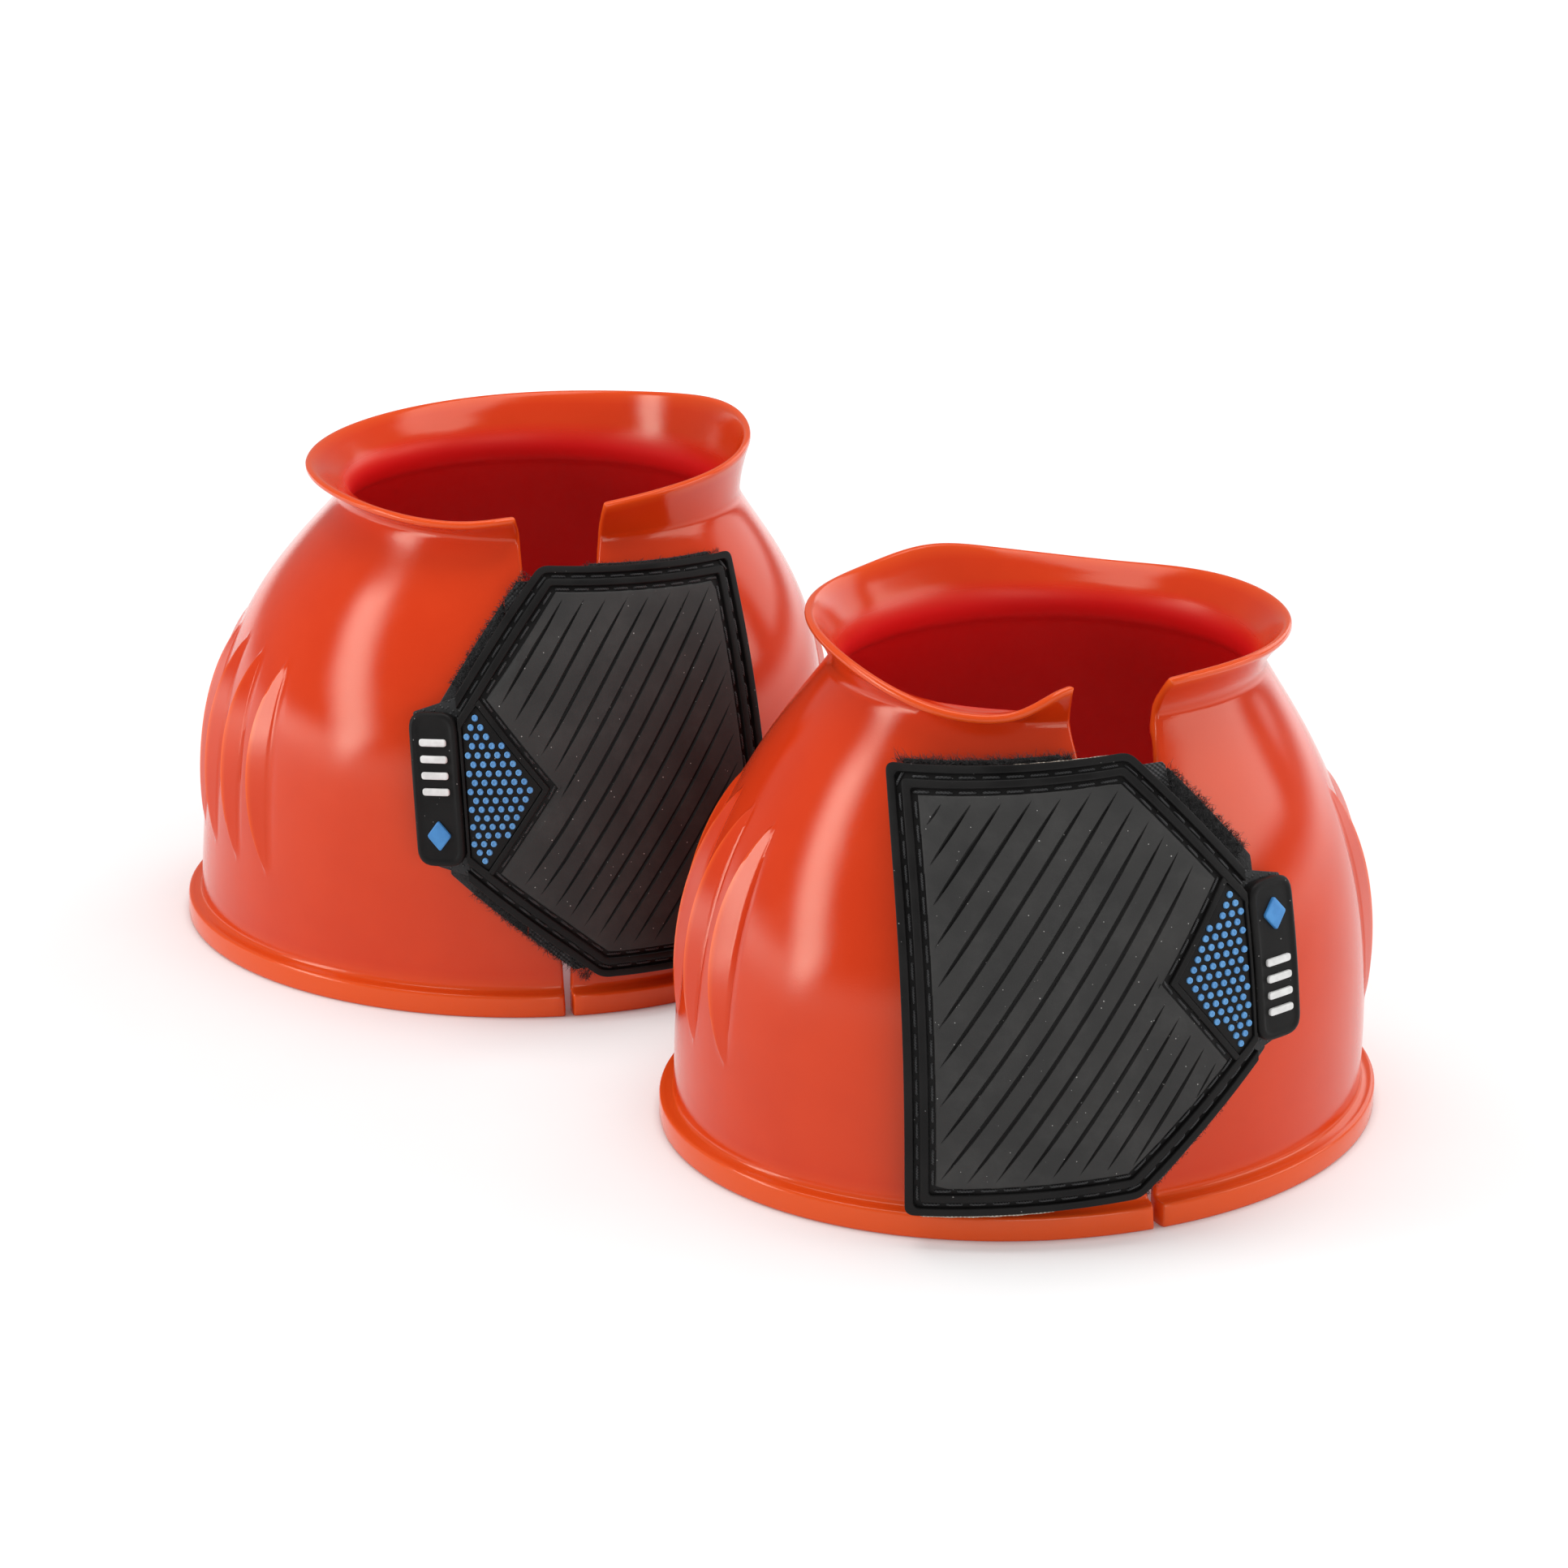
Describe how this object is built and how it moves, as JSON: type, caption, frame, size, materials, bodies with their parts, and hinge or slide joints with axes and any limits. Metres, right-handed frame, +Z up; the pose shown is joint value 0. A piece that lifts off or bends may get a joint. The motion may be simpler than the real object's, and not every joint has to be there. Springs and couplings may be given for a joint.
{
  "type": "overreach boot",
  "caption": "Standing pair of moulded rubber bell boots for a horse, each open down its front and closed by a double hook-and-loop strap with a rubber face and a pull tab.",
  "frame": {"origin": "on the floor, at the middle of the box round the standing pair", "axes": "+X from the back boot's side to the front boot's side, +Y away from the viewer, towards the boots' backs, +Z up"},
  "size_m": [0.306, 0.2858, 0.1327],
  "materials": {
    "bell_rubber": "glossy moulded orange-red rubber",
    "strap_rubber": "matt charcoal moulded rubber",
    "grip_rubber": "blue dotted rubber",
    "loop_pile": "black brushed loop pile",
    "webbing": "black woven webbing",
    "hook_tape": "black hook tape",
    "thread": "black polyester thread",
    "badge_blue": "moulded blue plastic",
    "bar_white": "moulded white plastic"
  },
  "bodies": {
    "right_boot": {"right_shell": "bell_rubber", "right_near_loop_patch": "loop_pile", "right_strap_anchor": "webbing", "right_inner_strap_base": "loop_pile"},
    "right_outer_strap": {"right_strap_overlay": "strap_rubber", "right_strap_hook_lining": "hook_tape", "right_grip_insert": "grip_rubber", "right_pull_tab": "strap_rubber", "right_tab_badge": "badge_blue", "right_tab_grip_bars": "bar_white", "right_stitch_row_foot": "thread", "right_stitch_row_top": "thread", "right_stitch_row_inner": "thread"},
    "right_inner_flap": {"right_inner_strap": "webbing", "right_inner_strap_hook_face": "hook_tape"},
    "left_boot": {"left_shell": "bell_rubber", "left_near_loop_patch": "loop_pile", "left_strap_anchor": "webbing", "left_inner_strap_base": "loop_pile"},
    "left_outer_strap": {"left_strap_overlay": "strap_rubber", "left_strap_hook_lining": "hook_tape", "left_grip_insert": "grip_rubber", "left_pull_tab": "strap_rubber", "left_tab_badge": "badge_blue", "left_tab_grip_bars": "bar_white", "left_stitch_row_foot": "thread", "left_stitch_row_top": "thread", "left_stitch_row_inner": "thread"},
    "left_inner_flap": {"left_inner_strap": "webbing", "left_inner_strap_hook_face": "hook_tape"}
  },
  "joints": [
    {"name": "left_boot_lift", "type": "slide", "parent": "right_boot", "child": "left_boot", "axis": [0, 0, 1], "range_m": [0, 0.2]},
    {"name": "right_outer_strap_peel", "type": "hinge", "parent": "right_boot", "child": "right_outer_strap", "pos_m": [0.03317, -0.13227, 0.05711], "axis": [0.0381, -0.2752, -0.9606], "range_deg": [0, 150]},
    {"name": "right_inner_strap_peel", "type": "hinge", "parent": "right_boot", "child": "right_inner_flap", "pos_m": [0.10088, -0.12674, 0.06348], "axis": [-0.1043, 0.192, 0.9758], "range_deg": [0, 105]},
    {"name": "left_outer_strap_peel", "type": "hinge", "parent": "left_boot", "child": "left_outer_strap", "pos_m": [0.00797, 0.0118, 0.06201], "axis": [-0.1249, 0.1071, 0.9864], "range_deg": [0, 24]},
    {"name": "left_inner_strap_peel", "type": "hinge", "parent": "left_boot", "child": "left_inner_flap", "pos_m": [-0.05653, -0.01419, 0.06434], "axis": [0.063, -0.1997, -0.9778], "range_deg": [0, 16.8]}
  ],
  "couplings": [
    {"joint": "right_inner_strap_peel", "follows": "right_outer_strap_peel", "ratio": 0.7},
    {"joint": "left_inner_strap_peel", "follows": "left_outer_strap_peel", "ratio": 0.7}
  ]
}
